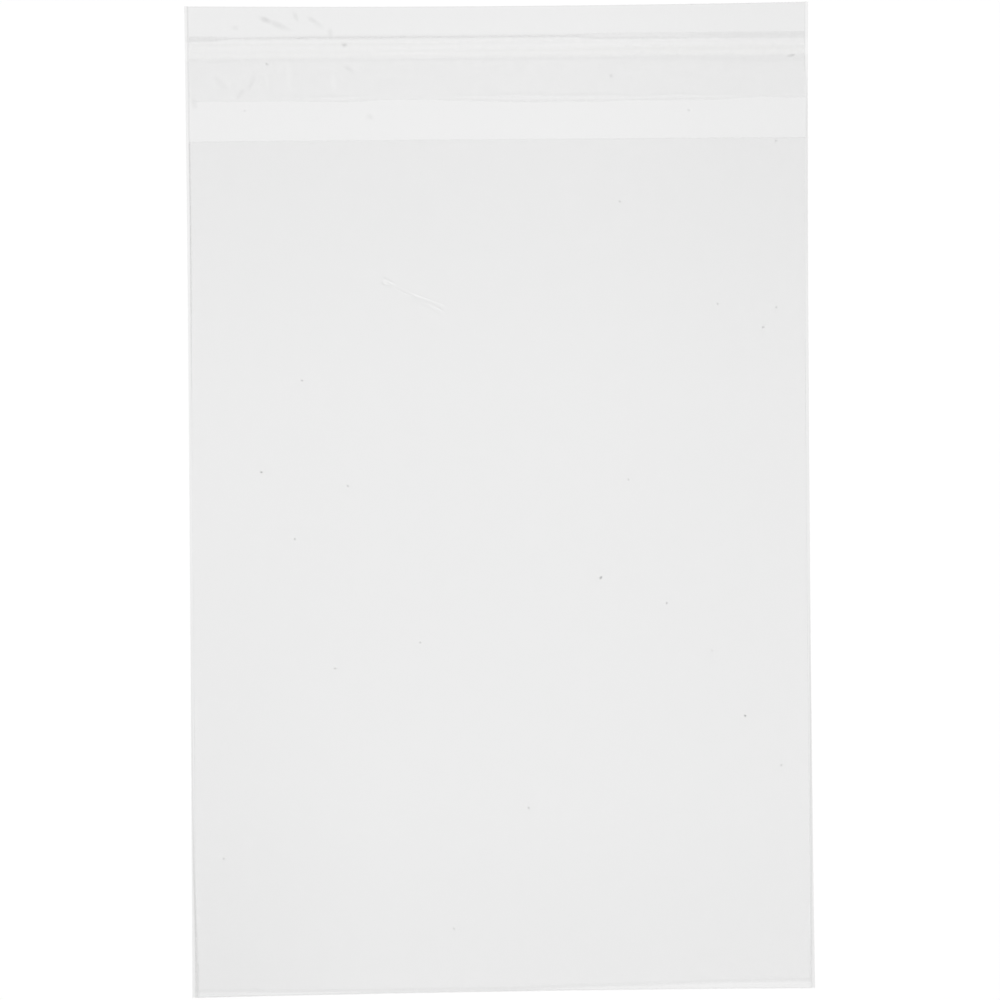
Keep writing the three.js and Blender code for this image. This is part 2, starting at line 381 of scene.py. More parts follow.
def film_shell():
    """Closes the two skins into one shell: solid welds at both sides, and a pocket open at the mouth."""
    outer, inner, haze, mouth_row = film_skins()
    rows, columns = outer.shape[:2]
    o = np.arange(rows * columns).reshape(rows, columns)
    i = o + rows * columns
    left, right = np.searchsorted(film_columns(), [-weld_inner - hair, weld_inner - hair])
    flap = i[:mouth_row + 1]
    pocket = i[mouth_row:, left:right + 1]
    top = o[-1, left:right + 1]
    faces = strips(o[:-1, :-1], o[:-1, 1:], o[1:, 1:], o[1:, :-1])
    faces += strips(flap[:-1, :-1], flap[1:, :-1], flap[1:, 1:], flap[:-1, 1:])
    faces += strips(pocket[:-1, :-1], pocket[1:, :-1], pocket[1:, 1:], pocket[:-1, 1:])
    faces += strips(o[0, :-1], i[0, :-1], i[0, 1:], o[0, 1:])
    faces += strips(pocket[-1, :-1], top[:-1], top[1:], pocket[-1, 1:])
    half = (rows - mouth_row) // 2
    for edge, seam, weld in ((0, left, o[-1, :left + 1]), (-1, right, o[-1, :right - 1:-1])):
        lower, upper = o[mouth_row:, edge][:half], o[::-1, edge][:half]
        side = strips(lower[1:], upper[1:], upper[:-1], lower[:-1])
        lower, upper = o[:mouth_row + 1, edge], i[:mouth_row + 1, edge]
        side += strips(lower[1:], upper[1:], upper[:-1], lower[:-1])
        lower, upper = i[mouth_row:, seam][:half], i[::-1, seam][:half]
        side += strips(lower[1:], lower[:-1], upper[:-1], upper[1:])
        foot = i[mouth_row, weld % columns]
        side += strips(foot[:-2], weld[:-2], weld[1:-1], foot[1:-1])
        side.append([foot[-2], weld[-2], weld[-1], i[-1, seam], foot[-1]])
        faces += side if edge == 0 else [face[::-1] for face in side]
    return np.concatenate([outer, inner]).reshape(-1, 3), faces, np.tile(haze.ravel(), 2)


dust = np.array([  # place across and up the bag in mm, size in mm, and grey of each speck
    (-38.0, 23.3, 0.17, 0.46), (-46.0, 5.7, 0.18, 0.34), (-29.3, 2.9, 0.18, 0.55),
    (-39.6, -7.2, 0.17, 0.5), (32.1, -20.1, 0.2, 0.56), (-15.6, -27.3, 0.17, 0.51),
    (-32.0, -32.2, 0.165, 0.46), (47.1, -41.9, 0.195, 0.36), (5.1, -59.3, 0.18, 0.44),
    (-9.5, -82.5, 0.165, 0.46), (-53.8, -68.7, 0.16, 0.48), (54.0, -51.5, 0.17, 0.5),
    (53.8, 36.7, 0.165, 0.48), (42.4, 37.4, 0.165, 0.5), (23.6, 57.3, 0.165, 0.52),
    (24.9, 3.7, 0.165, 0.48), (40.8, -29.3, 0.165, 0.46), (19.4, -15.1, 0.29, 0.52),
    (51.2, 32.9, 0.24, 0.64), (53.8, 68.8, 0.19, 0.64),
])
flake_corners = 10
flake_shares = np.array([0, 0.6, 1, 0])  # of its reach: middle of the top, shoulder, rim, middle of the foot
flake_heights = np.array([0.06, 0.05, 0.02, 0.004]) * MM  # above the film, of the same four
flake_long = 0.25  # how far its outline is drawn out
flake_uneven = 0.12


def dust_flakes():
    """Specks of dust on the front panel: flat, closed flakes, each a circle with two low waves in it."""
    number = np.arange(len(dust))[:, None]
    middle_x, middle_y, size = dust.T[:3, :, None] * MM
    angle = 2 * np.pi * np.arange(flake_corners) / flake_corners + number
    reach = size * (1 + flake_long * np.cos(2 * angle + number) + flake_uneven * np.cos(3 * angle))
    share = flake_shares[:, None, None]
    x = middle_x + share * reach * np.cos(angle)
    y = middle_y + share * reach * np.sin(angle)
    points = settle(x, y, front_lining(x, y) + film_gauge + flake_heights[:, None, None])
    greys = np.broadcast_to(dust[:, 3:], x.shape)
    at = np.arange(x.size).reshape(x.shape)
    after = np.roll(at, -1, axis=2)
    faces = strips(at[1], at[2], after[2], after[1])
    for ring, pole, turn in ((1, 0, 1), (2, 3, -1)):
        middle = np.repeat(at[pole, :, :1], flake_corners, axis=1)
        fan = np.stack([middle, at[ring], after[ring]][::turn], axis=-1)
        faces += fan.reshape(-1, 3).tolist()
    return points.reshape(-1, 3), faces, greys.ravel()


sharp_angle = math.radians(50)


def mesh_piece(name, points, faces, finishes):
    """One smooth mesh object at the origin, with its sharp edges kept, and the points that it uses."""
    used = np.unique(np.concatenate([np.ravel(face) for face in faces]))
    renumber = np.zeros(len(points), int)
    renumber[used] = np.arange(len(used))
    mesh = bpy.data.meshes.new(name)
    mesh.from_pydata(points[used].tolist(), [], [renumber[face].tolist() for face in faces])
    mesh.polygons.foreach_set("use_smooth", np.ones(len(faces), bool))
    mesh.set_sharp_from_angle(angle=sharp_angle)
    for finish in finishes:
        mesh.materials.append(finish)
    piece = bpy.data.objects.new(name, mesh)
    piece.visible_diffuse = False  # light sent back and forth between film and table only adds grain
    bpy.context.scene.collection.objects.link(piece)
    return piece, used


def put_haze(piece, haze):
    """Keeps the haze of each point with the mesh, for its finish to read; on the film and liner it also
    carries painted shade and painted highlight.
    """
    piece.data.attributes.new("haze", "FLOAT", "POINT").data.foreach_set("value", haze.astype(np.float32))


def node(tree, kind, sockets=(), **settings):
    """Adds a node. sockets gives inputs by name or number: an output is linked, a plain value is set."""
    made = tree.nodes.new(kind)
    for name, value in settings.items():
        setattr(made, name, value)
    for key, value in dict(sockets).items():
        if isinstance(value, bpy.types.NodeSocket):
            tree.links.new(value, made.inputs[key])
        else:
            made.inputs[key].default_value = value
    return made


def combine(tree, operation, *values):
    """One sum on two or three numbers."""
    return node(tree, "ShaderNodeMath", enumerate(values), operation=operation).outputs[0]


def ease(tree, value, start, end, low, high):
    """Goes smoothly from low to high as value goes from start to end, and stays level outside."""
    sockets = {"Value": value, "From Min": start, "From Max": end, "To Min": low, "To Max": high}
    return node(tree, "ShaderNodeMapRange", sockets, interpolation_type="SMOOTHSTEP").outputs["Result"]


def dab(tree, place, start, end, half_thickness, strength):
    """A soft oval mark round the line from start to end, in mm: strongest in its middle, fading out."""
    (x0, y0), (x1, y1) = start, end
    reach = math.hypot(x1 - x0, y1 - y0) / 2 + half_thickness
    sockets = {
        "Vector": place,
        "Location": ((x0 + x1) / 2 * MM, (y0 + y1) / 2 * MM, 0),
        "Rotation": (0, 0, math.atan2(y1 - y0, x1 - x0)),
        "Scale": (reach * MM, half_thickness * MM, 1),
    }
    own = node(tree, "ShaderNodeMapping", sockets, vector_type="TEXTURE").outputs["Vector"]
    away = node(tree, "ShaderNodeVectorMath", {0: own}, operation="LENGTH").outputs["Value"]
    return ease(tree, away, 0, 1, strength, 0)


def total(tree, values):
    """The sum of several numbers."""
    values = list(values)
    result = values[0]
    for value in values[1:]:
        result = combine(tree, "ADD", result, value)
    return result


face_shade = (0.992, 0.992, 0.992, 1)  # light that each face lets through to what lies under it
glancing_power = 5.0  # of the growth of the gloss towards a glancing angle
glancing_gain = 0.9


def clear_sheet(tree, haze, colour, shine, gloss_roughness, relief):
    """Output of a clear sheet: it passes light, hazes a share of it, and mirrors more at a glancing angle.

    Each layer of film counts once, on the face that is met first, and the face behind it is left clear.
    """
    through = node(tree, "ShaderNodeBsdfTransparent").outputs[0]
    veil = node(tree, "ShaderNodeBsdfDiffuse", {"Color": colour}).outputs[0]
    body = node(tree, "ShaderNodeMixShader", {0: haze, 1: through, 2: veil}).outputs[0]
    glancing = node(tree, "ShaderNodeLayerWeight", {"Blend": 0.5}).outputs["Facing"]
    growth = combine(tree, "POWER", glancing, glancing_power)
    mirror_share = combine(tree, "MULTIPLY_ADD", growth, glancing_gain, shine)
    mirror = node(tree, "ShaderNodeBsdfGlossy", {"Roughness": gloss_roughness, "Normal": relief}).outputs[0]
    front = node(tree, "ShaderNodeMixShader", {0: mirror_share, 1: body, 2: mirror}).outputs[0]
    behind = node(tree, "ShaderNodeNewGeometry").outputs["Backfacing"]
    clear = node(tree, "ShaderNodeBsdfTransparent").outputs[0]
    sheet = node(tree, "ShaderNodeMixShader", {0: behind, 1: front, 2: clear}).outputs[0]
    to_lamp = node(tree, "ShaderNodeLightPath").outputs["Is Shadow Ray"]
    shade = node(tree, "ShaderNodeBsdfTransparent", {"Color": face_shade}).outputs[0]
    seen = node(tree, "ShaderNodeMixShader", {0: to_lamp, 1: sheet, 2: shade}).outputs[0]
    node(tree, "ShaderNodeOutputMaterial", {"Surface": seen})


def new_material(name):
    """An empty node material and its tree."""
    material = bpy.data.materials.new(name)
    material.use_nodes = True
    material.node_tree.nodes.clear()
    return material, material.node_tree


film_grey = (0.22, 0.22, 0.22, 1)
film_shine = 0.05
film_roughness = 0.06
noise_span = (0.3, 0.7)  # what nearly all of a noise texture's values lie between
die_line_scale = (900, 40, 1)  # fine across the bag and long down it
die_line_haze = 0.0008
relief_depth = 0.2 * MM  # of the finest waves of a sheet's face, times the share below
film_relief = 0.05
dust_roughness = 0.9

flap_marks = [  # finger marks: from, to, half thickness in mm and strength
    ((-45.4, 93.2), (-43.8, 92.6), 0.8, 0.14),
    ((-44.6, 92.9), (-39.6, 90.8), 0.9, 0.10),
    ((-36.2, 93.2), (-35.0, 92.5), 0.8, 0.07),
    ((-35.6, 92.9), (-33.4, 91.2), 0.8, 0.05),
    ((-39.0, 94.2), (-38.3, 92.6), 0.8, 0.07),
    ((-50.6, 91.4), (-50.1, 91.3), 0.8, 0.06),
    ((-32.1, 90.9), (-31.9, 89.6), 0.8, 0.06),
    ((-24.8, 74.2), (-24.2, 73.9), 0.9, 0.05),
    ((-58.5, 77.3), (-58.2, 76.2), 1.0, 0.06),
    ((36.9, 74.9), (37.1, 74.8), 0.45, 0.10),
    ((-48.7, 75.4), (-48.6, 75.4), 0.35, 0.10),
    ((37.5, 95.3), (37.9, 95.3), 0.4, 0.10),
    ((48.4, 95.5), (48.8, 95.5), 0.4, 0.10),
]

_, tape_high = (np.array(corner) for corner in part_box("release_liner"))
wet_low, wet_high = (np.array(corner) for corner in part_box("adhesive_strip"))
wet_clear = 0.03  # haze lost where the adhesive wets the film
wet_drop = 0.34 * MM  # of the adhesive's upper edge, as the tape's two upper edges part on the right
wet_drop_across = (13 * MM, 20 * MM)
wet_end_drop = 0.55 * MM  # of its upper edge towards the left end
wet_end_across = (-56.5 * MM, -50 * MM)
wet_sag = 0.27 * MM  # of its upper edge towards the right end
wet_sag_across = (-5 * MM, 60 * MM)
wet_foot_rise = 0.35 * MM  # of its lower edge on the right
wet_foot_across = (-5 * MM, 35 * MM)
tape_halo = 0.045  # haze gained in a soft line just above the tape
tape_halo_width = 0.45 * MM
tape_halo_overlap = 0.1 * MM  # how far down behind the tape's edge it starts
tape_halo_across = (-48 * MM, -38 * MM)  # where it grows to its full strength
tape_halo_faint = 0.3  # share of it on the left of there
wet_edge = 0.15 * MM  # half width of the adhesive's soft upper edge
wet_foot_edge = (-0.2 * MM, 0.1 * MM)  # its soft lower edge, from below to above


def tape_shade(tree, place):
    """Changes of the flap's haze by the tape: less where the adhesive wets it, more in a line above."""
    across, up, _ = node(tree, "ShaderNodeSeparateXYZ", {0: place}).outputs
    lowered = total(tree, [
        ease(tree, across, *wet_drop_across, 0, wet_drop),
        ease(tree, across, *wet_end_across, wet_end_drop, 0),
        ease(tree, across, *wet_sag_across, 0, wet_sag),
    ])
    to_top = combine(tree, "ADD", up, lowered)
    to_foot = combine(tree, "SUBTRACT", up, ease(tree, across, *wet_foot_across, 0, wet_foot_rise))
    head = tape_high[1] - tape_halo_overlap
    below_line = ease(tree, up, head, head + tape_halo_width, 1, 0)
    below_top = ease(tree, to_top, wet_high[1] - wet_edge, wet_high[1] + wet_edge, 1, 0)
    below_foot = ease(tree, to_foot, *(wet_low[1] + edge for edge in wet_foot_edge), 1, 0)
    grown = ease(tree, across, *tape_halo_across, tape_halo_faint * tape_halo, tape_halo)
    strength = combine(tree, "MULTIPLY", grown, ease(tree, across, *wet_drop_across, 1, 0))
    halo = combine(tree, "MULTIPLY", combine(tree, "SUBTRACT", below_line, below_top), strength)
    wet = combine(tree, "MULTIPLY", combine(tree, "SUBTRACT", below_foot, below_top), wet_clear)
    return [halo, wet]


def film_finish(name, marks):
    """Clear film: its haze, painted shade and highlight among it, faintly streaked down its length, with
    finger marks, under a bright gloss.
    """
    material, tree = new_material(name)
    place = node(tree, "ShaderNodeTexCoord").outputs["Object"]
    greyed = node(tree, "ShaderNodeAttribute", attribute_name="haze").outputs["Fac"]
    drawn = node(tree, "ShaderNodeMapping", {"Vector": place, "Scale": die_line_scale}).outputs["Vector"]
    die_lines = node(tree, "ShaderNodeTexNoise", {"Vector": drawn, "Scale": 1, "Detail": 0}).outputs["Fac"]
    streaks = ease(tree, die_lines, *noise_span, -die_line_haze, die_line_haze)
    haze = total(tree, [greyed, streaks] + [dab(tree, place, *mark) for mark in marks])
    if marks:
        haze = total(tree, [haze] + tape_shade(tree, place))
    sockets = {"Height": die_lines, "Strength": film_relief, "Distance": relief_depth}
    relief = node(tree, "ShaderNodeBump", sockets)
    clear_sheet(tree, haze, film_grey, film_shine, film_roughness, relief.outputs[0])
    return material


def dust_finish():
    """Matt dust, each speck of its own grey."""
    material, tree = new_material("grey_dust")
    grey = node(tree, "ShaderNodeAttribute", attribute_name="haze").outputs["Fac"]
    matt = node(tree, "ShaderNodeBsdfPrincipled", {"Base Color": grey, "Roughness": dust_roughness})
    node(tree, "ShaderNodeOutputMaterial", {"Surface": matt.outputs[0]})
    return material


film_points, film_faces, film_greyed = film_shell()
dust_points, dust_faces, dust_greys = dust_flakes()
all_faces = film_faces + [[corner + len(film_points) for corner in face] for face in dust_faces]
pocket_finish = film_finish("clear_film", [])
flap_finish = film_finish("clear_film_fingered", flap_marks)
bag_film, film_used = mesh_piece(
    "clear_film_bag",
    np.concatenate([film_points, dust_points]),
    all_faces,
    [pocket_finish, flap_finish, dust_finish()],
)
put_haze(bag_film, np.concatenate([film_greyed, dust_greys])[film_used])
face_middles = np.zeros((len(all_faces), 3), np.float32)
bag_film.data.polygons.foreach_get("center", face_middles.ravel())
worn = np.where(face_middles[:, 1] > mouth, 1, 0)
worn[len(film_faces):] = 2
bag_film.data.polygons.foreach_set("material_index", worn.astype(np.int32))

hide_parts("bag_film")
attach(bag_film, "root")

# Adhesive line.
# A ribbon of clear pressure-sensitive adhesive, wiped onto the flap's inner face through a slot, so it is
# streaked lengthwise. It is faintly yellow, and its edges run out of true on the right and at the left end.

adhesive_low, adhesive_high = (np.array(corner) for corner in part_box("adhesive_strip"))
adhesive_thickness = adhesive_high[2] - adhesive_low[2]
tape_half_length = adhesive_high[0]
adhesive_cream = (0.40, 0.39, 0.27, 1)

streak_up = np.array([  # heights above its lower edge, for the next list
    0, 0.3, 0.6, 1.0, 1.3, 1.7, 2.2, 2.5, 2.8, 3.1, 3.4, 3.7, 4.0]) * MM
streak_haze = [0.025, 0.024, 0.022, 0.03, 0.036, 0.022, 0.004, 0.012, 0.024, 0.012, 0.003, 0.008, 0.015]
adhesive_roughness = 0.25
wipe_scale = (12, 900, 1)  # long across the bag and fine down it
wipe_haze = 0.01
adhesive_relief = 0.2
adhesive_columns = 121  # of the ribbon's mesh
adhesive_rows = 41
comb_ridges = 7  # left in the adhesive's face by the slot
comb_wander = 1.5  # how far they swing from side to side along it, in radians of their pitch
comb_wander_pitch = 19 * MM
comb_level = 0.93  # share of the full thickness midway up the ridges
comb_depth = 0.06
edge_thin = 0.2  # share of the full thickness at its very edges
edge_slope = 12


def tape_split(x):
    """0 on the left, where the tape's upper edges lie together, easing to 1 where they part on the right."""
    return rise(x, *wet_drop_across)


def tape_left_end(x):
    """1 at the tape's left end, easing to 0 some way in."""
    return 1 - rise(x, *wet_end_across)


def adhesive_top(x):
    """Place of the adhesive's upper edge: lower at the left end, and lower and lower on the right."""
    sag = wet_sag * rise(x, *wet_sag_across)
    return adhesive_high[1] - wet_drop * tape_split(x) - wet_end_drop * tape_left_end(x) - sag


def adhesive_foot(x):
    """Place of the adhesive's lower edge, which rises a little to the right."""
    return adhesive_low[1] + wet_foot_rise * rise(x, *wet_foot_across)


def closed_sheet(lower, upper):
    """Closes two matching grids of points, set one above the other, into a shell with four rims.

    Rows run down the bag and columns across it. Returns the points and the faces, which point outwards.
    """
    rows, columns = lower.shape[:2]
    a = np.arange(rows * columns).reshape(rows, columns)
    b = a + rows * columns
    faces = strips(a[:-1, :-1], a[:-1, 1:], a[1:, 1:], a[1:, :-1])
    faces += strips(b[:-1, :-1], b[1:, :-1], b[1:, 1:], b[:-1, 1:])
    faces += strips(a[0, :-1], b[0, :-1], b[0, 1:], a[0, 1:])
    faces += strips(a[-1, 1:], b[-1, 1:], b[-1, :-1], a[-1, :-1])
    faces += strips(a[1:, 0], b[1:, 0], b[:-1, 0], a[:-1, 0])
    faces += strips(a[:-1, -1], b[:-1, -1], b[1:, -1], a[1:, -1])
    return np.concatenate([lower, upper]).reshape(-1, 3), faces


def adhesive_shell():
    """The ribbon: a flat base on the film, and a top that is combed into low ridges and thins at its edges.

    Its haze runs in streaks along it, at set distances up from its lower edge.
    """
    x = np.linspace(-tape_half_length, tape_half_length, adhesive_columns)[None, :]
    share = np.linspace(0, 1, adhesive_rows)[:, None]
    top = adhesive_top(x)
    y = top - (top - adhesive_foot(x)) * share
    ridges = np.cos(2 * np.pi * share * comb_ridges + comb_wander * np.sin(x / comb_wander_pitch))
    edges = np.minimum(1, edge_slope * np.minimum(share, 1 - share) + edge_thin)
    z = film_gauge + adhesive_thickness * edges * (comb_level + comb_depth * ridges)
    haze = np.interp(y - adhesive_foot(x), streak_up, streak_haze)
    x = x + 0 * y
    points, faces = closed_sheet(settle(x, y, film_gauge + 0 * y), settle(x, y, z))
    return points, faces, np.tile(haze.ravel(), 2)


def adhesive_finish():
    """Clear, faintly yellow adhesive: its streaks of haze, which come and go along the ribbon."""
    material, tree = new_material("clear_adhesive")
    place = node(tree, "ShaderNodeTexCoord").outputs["Object"]
    drawn = node(tree, "ShaderNodeMapping", {"Vector": place, "Scale": wipe_scale}).outputs["Vector"]
    streaks = node(tree, "ShaderNodeTexNoise", {"Vector": drawn, "Scale": 1, "Detail": 3}).outputs["Fac"]
    greyed = node(tree, "ShaderNodeAttribute", attribute_name="haze").outputs["Fac"]
    haze = combine(tree, "ADD", greyed, ease(tree, streaks, *noise_span, -wipe_haze, wipe_haze))
    sockets = {"Height": streaks, "Strength": adhesive_relief, "Distance": relief_depth}
    relief = node(tree, "ShaderNodeBump", sockets)
    clear_sheet(tree, haze, adhesive_cream, 0.0, adhesive_roughness, relief.outputs[0])
    return material


adhesive_points, adhesive_faces, adhesive_greyed = adhesive_shell()
adhesive, adhesive_used = mesh_piece("adhesive_line", adhesive_points, adhesive_faces, [adhesive_finish()])
put_haze(adhesive, adhesive_greyed[adhesive_used])

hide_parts("adhesive_strip")
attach(adhesive, "root")

# Release liner.
# A strip of clear siliconed film laid over the adhesive. It is stuck along its upper edge only, and the
# free lower edge, which is gripped to peel it off, lifts and ripples a little.

liner_low, liner_high = (np.array(corner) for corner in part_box("release_liner"))
liner_gauge = 0.05 * MM
liner_rise = 0.17 * MM  # how far the strip, laid out of square, stands above its middle line on the right
liner_edge_rise = 0.38 * MM  # of the upper edge on the right, where it parts from the adhesive's
liner_end_rise = 0.2 * MM  # and of its left end
liner_reach = 0.17 * MM  # how far its right end runs on past the adhesive's
liner_lift = 0.12 * MM  # of the free edge, at its lowest stretches
liner_ripple = 0.4 * MM  # added at the top of a ripple
ripple_pitch = 42 * MM
ripple_centre = 12.6 * MM
liner_lip = 0.14 * MM  # turned up at the cut edge of the lifted stretches
liner_lip_width = 1.0 * MM
liner_columns = 161  # of the strip's mesh
liner_rows = 71
liner_foot_bulge = 0.5 * MM  # how far the cut lower edge falls past the middle
liner_haze = 0.022
liner_haze_edge = 0.3 * MM  # of the soft edges of the stretch that the adhesive wets

edge_line_haze = 0.075  # in the dark line along the tape's upper edge
edge_line_width = 0.3 * MM
edge_line_inset = 0.27 * MM  # from the liner's edge to the middle of the line
edge_line_inset_more = 0.25 * MM  # added where the two upper edges part
edge_line_left = 0.45  # share of it that stays there, out towards the ends
gap_haze = 0.035  # between the two upper edges
gap_haze_middle = 0.4  # share of it nearest the middle of the bag
gap_haze_edge = 0.1 * MM
parted_gap = (0.5 * MM, 0.8 * MM)  # how far apart the two edges have to be
outward_across = (30 * MM, 50 * MM)  # distances from the middle of the bag, towards the ends
wet_line_share = 0.8  # of the same dark line, along the adhesive's edge where the two part
wet_line_fade = 0.65  # share of it lost further out
wet_line_across = (28 * MM, 42 * MM)
wet_line_above = 0.1 * MM
wet_line_width = 0.22 * MM
step_shade = 0.033  # painted shade in the soft line where the liner leaves the adhesive
step_below = 0.05 * MM
step_width = 0.5 * MM
step_below_more = 0.8 * MM  # added towards the right, where it leaves more gently
step_width_more = 0.3 * MM
lip_shade_and_highlight = 0.04  # painted shadow in the dark lines along the turned-up edge, with a painted highlight in the clear line between them
lip_outer = (0.3 * MM, 0.25 * MM)  # place and width of the line by the cut edge
lip_highlight = (0.55, 0.3 * MM)  # of the painted highlight's line, its place as a share of the lip's width
lip_inner_width = 0.35 * MM
lip_highlight_share = 1.2  # strengths of the painted highlight and the inner line of painted shadow
lip_inner_share = 0.6

liner_grey = (0.22, 0.22, 0.22, 1)
liner_shine = 0.05
liner_roughness = 0.12
liner_relief = 0.05
mottle_scale = 400
mottle_haze = 0.005

liner_head = liner_high[1] - liner_rise
liner_foot_line = liner_low[1] + liner_foot_bulge

foot_across = np.array([-59, -46, -38, -29.5, -23, -15, -9, -3, 4.5, 12, 20, 27.5, 35, 43, 50.5, 57.5]) * MM
foot_below = np.array([  # how far the lower edge falls below its straight line there
    0, 0, 0.13, 0.33, 0, -0.16, 0.1, 0.3, 0.6, 0.6, 0.62, 0.33, 0.33, 0.32, -0.15, 0.08]) * MM
foot_curl = [0, 0, 0.4, 0.8, 0, 0, 0.3, 1, 1, 1, 1, 0.8, 0.9, 0.5, 0, 0.4]  # share of the full lip there
curl_width = np.array([  # of the lip's dark and clear lines
    1, 1, 0.95, 1.25, 1.2, 1.2, 1.2, 1.2, 1.85, 1.5, 1.55, 0.95, 1.3, 1.05, 1, 1]) * MM

liner_marks = [  # finger marks and paler streaks: from, to, half thickness in mm and strength
    ((-29.7, 87.9), (-29.0, 87.9), 0.6, 0.24),
    ((-29.4, 83.9), (-27.5, 82.7), 0.8, 0.065),
    ((-46.6, 82.3), (-47.9, 79.2), 0.8, 0.05),
    ((-48.7, 79.4), (-49.9, 77.9), 0.8, 0.05),
    ((-54.4, 82.2), (-52.1, 79.4), 1.0, 0.04),
    ((-44.4, 84.4), (-44.1, 84.3), 0.4, 0.22),
    ((-38.0, 89.4), (-36.4, 89.3), 0.6, 0.06),
    ((56.1, 85.1), (57.5, 85.4), 0.45, 0.22),
    ((22.0, 81.6), (22.1, 81.6), 0.5, 0.10),
    ((47.4, 82.8), (47.5, 82.8), 0.4, 0.05),
    ((-44.4, 84.0), (-44.2, 79.5), 0.6, -0.02),
    ((-40.1, 84.5), (-40.1, 78.0), 0.8, -0.03),
    ((-31.6, 83.5), (-31.4, 78.5), 0.8, -0.03),
    ((-4.0, 82.0), (-3.9, 77.6), 0.6, -0.02),
]


def liner_foot(x):
    """Place of the cut lower edge, which wanders, and is lowest past the middle."""
    return liner_foot_line - np.interp(x, foot_across, foot_below)


def liner_top(x):
    """Place of the upper edge, which rises at the left end and, as the two edges part, on the right."""
    return liner_head + liner_edge_rise * tape_split(x) + liner_end_rise * tape_left_end(x)


def liner_lines_and_painted_light(x, y):
    """Haze of the dark lines: along the tape's two upper edges, painted shade past the adhesive, and painted
    shadow with a painted highlight along the lip.
    """
    parted = rise(liner_top(x) - adhesive_top(x), *parted_gap)
    outward = rise(np.abs(x), *outward_across)
    inset = edge_line_inset + edge_line_inset_more * parted
    edge = edge_line_haze * (1 - parted * (1 - edge_line_left * outward))
    haze = edge * bell(liner_top(x) - y - inset, edge_line_width)
    wet = edge_line_haze * parted * (wet_line_share - wet_line_fade * rise(np.abs(x), *wet_line_across))
    haze = haze + wet * bell(adhesive_top(x) + wet_line_above - y, wet_line_width)
    gap = gap_haze * parted * (gap_haze_middle + (1 - gap_haze_middle) * outward)
    haze = haze + gap * rise(y, adhesive_top(x) - gap_haze_edge, adhesive_top(x) + gap_haze_edge)
    # painted shade where the liner leaves the adhesive
    slack = rise(x, *wet_sag_across)
    below = adhesive_foot(x) - y - step_below - step_below_more * slack
    haze = haze + step_shade * bell(below, step_width + step_width_more * slack)
    from_lip = y - liner_foot(x)
    far = np.interp(x, foot_across, curl_width)
    # painted shadow along the lifted lip, with a painted highlight between its dark lines
    lip = bell(from_lip - lip_outer[0], lip_outer[1])
    lip = lip - lip_highlight_share * bell(from_lip - lip_highlight[0] * far, lip_highlight[1])
    lip = lip + lip_inner_share * bell(from_lip - far, lip_inner_width)
    return haze + lip_shade_and_highlight * np.interp(x, foot_across, foot_curl) * lip


def liner_shell():
    """The liner: flat where it is stuck, then lifting as a square law to a rippled, slightly turned-up edge.

    Its haze is least over the adhesive, and the dark lines, with painted shade and a painted highlight among
    them, come on top.
    """
    x = np.linspace(-tape_half_length, tape_half_length + liner_reach, liner_columns)[None, :]
    share = np.linspace(0, 1, liner_rows)[:, None]
    y = liner_top(x) - (liner_top(x) - liner_foot(x)) * share
    stuck_top = adhesive_top(x)
    stuck_foot = adhesive_foot(x)
    free = np.clip((stuck_foot - y) / (stuck_foot - liner_foot_line), 0, 1)
    ripple = (1 + np.cos(2 * np.pi * (x - ripple_centre) / ripple_pitch)) / 2
    lip = np.clip(1 - (y - liner_foot(x)) / liner_lip_width, 0, 1) ** 2
    z = film_gauge + adhesive_thickness + (liner_lift + liner_ripple * ripple) * free**2
    z = z + liner_lip * np.interp(x, foot_across, foot_curl) * lip
    above_foot = rise(y, stuck_foot - liner_haze_edge, stuck_foot + liner_haze_edge)
    below_top = 1 - rise(y, stuck_top - liner_haze_edge, stuck_top)
    haze = liner_haze * (1 - above_foot * below_top) + liner_lines_and_painted_light(x, y)
    x = x + 0 * y
    points, faces = closed_sheet(settle(x, y, z), settle(x, y, z + liner_gauge))
    return points, faces, np.tile(haze.ravel(), 2)


def liner_finish():
    """Clear siliconed film: its haze, painted shade and highlight among it, faintly mottled and
    finger-marked, under a softer gloss.
    """
    material, tree = new_material("clear_liner")
    place = node(tree, "ShaderNodeTexCoord").outputs["Object"]
    greyed = node(tree, "ShaderNodeAttribute", attribute_name="haze").outputs["Fac"]
    sockets = {"Vector": place, "Scale": mottle_scale, "Detail": 2}
    grain = node(tree, "ShaderNodeTexNoise", sockets).outputs["Fac"]
    mottle = ease(tree, grain, *noise_span, -mottle_haze, mottle_haze)
    haze = total(tree, [greyed, mottle] + [dab(tree, place, *mark) for mark in liner_marks])
    sockets = {"Height": grain, "Strength": liner_relief, "Distance": relief_depth}
    relief = node(tree, "ShaderNodeBump", sockets)
    clear_sheet(tree, haze, liner_grey, liner_shine, liner_roughness, relief.outputs[0])
    return material


liner_points, liner_faces, liner_greyed = liner_shell()
liner, liner_used = mesh_piece("release_liner_strip", liner_points, liner_faces, [liner_finish()])
put_haze(liner, liner_greyed[liner_used])

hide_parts("release_liner")
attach(liner, "root")

# Floor, light and camera.
# A wide sheet of white paper under the bag, two softboxes facing each other across it, and a camera looking
# straight down from above, turned a little, as the photograph is.

floor_reach = 4.0
floor_gap = 0.1 * MM
floor_white = (0.62, 0.62, 0.62, 1)
floor_glow = 0.372
sky_low = 0.85  # brightness at the horizon and overhead
sky_high = 0.7
softbox_width = 0.9
softbox_height = 0.6
softbox_watts = 3.6

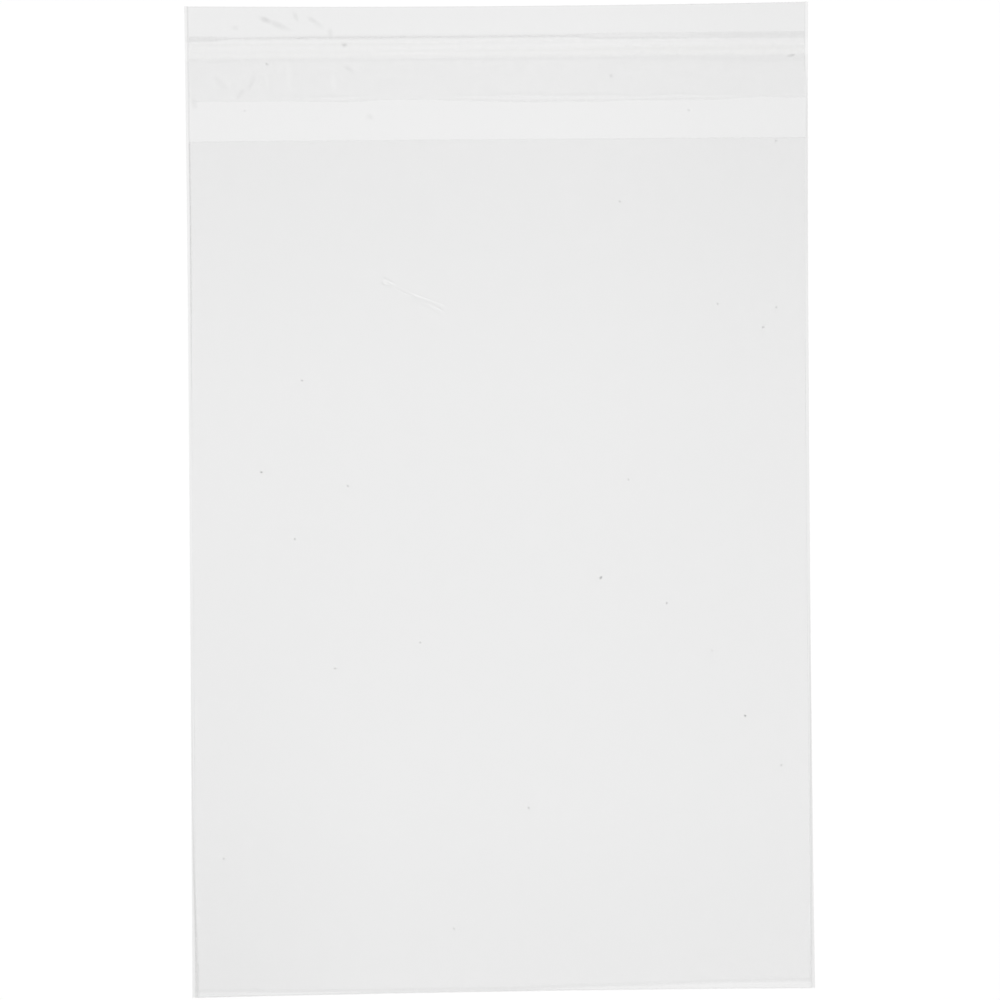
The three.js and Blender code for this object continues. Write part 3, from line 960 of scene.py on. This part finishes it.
floor_mesh = bpy.data.meshes.new("studio_floor")
floor_corners = [
    (-floor_reach, -floor_reach, -floor_gap),
    (floor_reach, -floor_reach, -floor_gap),
    (floor_reach, floor_reach, -floor_gap),
    (-floor_reach, floor_reach, -floor_gap),
]
floor_mesh.from_pydata(floor_corners, [], [(0, 1, 2, 3)])
floor = bpy.data.objects.new("studio_floor", floor_mesh)
bpy.context.scene.collection.objects.link(floor)
paper, paper_tree = new_material("white_paper")
rays = node(paper_tree, "ShaderNodeLightPath").outputs
seen = total(paper_tree, [rays["Is Camera Ray"], rays["Is Glossy Ray"], rays["Is Transmission Ray"]])
shown = combine(paper_tree, "MULTIPLY", combine(paper_tree, "MINIMUM", seen, 1.0), floor_glow)
glow = node(paper_tree, "ShaderNodeEmission", {"Strength": shown})
matt = node(paper_tree, "ShaderNodeBsdfDiffuse", {"Color": floor_white})
both = node(paper_tree, "ShaderNodeAddShader", {0: matt.outputs[0], 1: glow.outputs[0]})
node(paper_tree, "ShaderNodeOutputMaterial", {"Surface": both.outputs[0]})
floor_mesh.materials.append(paper)

world = bpy.data.worlds.new("studio")
world.use_nodes = True
bpy.context.scene.world = world
sky = world.node_tree
sky.nodes.clear()
direction = node(sky, "ShaderNodeTexCoord").outputs["Generated"]
height = node(sky, "ShaderNodeSeparateXYZ", {0: direction}).outputs["Z"]
level = ease(sky, height, 0.0, 1.0, sky_low, sky_high)
background = node(sky, "ShaderNodeBackground", {"Color": (1, 1, 1, 1), "Strength": level})
node(sky, "ShaderNodeOutputWorld", {"Surface": background.outputs[0]})


def softbox(name, place):
    """A rectangular area lamp at a place, in metres, that faces the bag and isn't seen itself."""
    lamp = bpy.data.lights.new(name, "AREA")
    lamp.shape = "RECTANGLE"
    lamp.size = softbox_width
    lamp.size_y = softbox_height
    lamp.energy = softbox_watts
    holder = bpy.data.objects.new(name, lamp)
    bpy.context.scene.collection.objects.link(holder)
    holder.location = place
    aim = np.array(place) / np.linalg.norm(place)
    holder.rotation_euler = (math.acos(aim[2]), 0, math.atan2(aim[1], aim[0]) + math.pi / 2)
    holder.visible_camera = False


softbox("softbox_back", (0.47, 0.82, 0.75))
softbox("softbox_front", (-0.45, -0.80, 0.75))

camera_lens = 100.0
camera_sensor = 36.0
field_width = 192.8 * MM  # what the square picture takes in, at the floor
camera_turn = math.radians(-0.44)
light_crossings = 32  # faces of film that a ray may cross: six on its way down, and more coming back

camera_data = bpy.data.cameras.new("camera")
camera_data.lens = camera_lens
camera_data.sensor_width = camera_sensor
camera = bpy.data.objects.new("camera", camera_data)
bpy.context.scene.collection.objects.link(camera)
camera.location = (0, 0, field_width * camera_lens / camera_sensor)
camera.rotation_euler = (0, 0, camera_turn)
bpy.context.scene.camera = camera
bpy.context.scene.view_settings.view_transform = "Standard"
bpy.context.scene.cycles.transparent_max_bounces = light_crossings
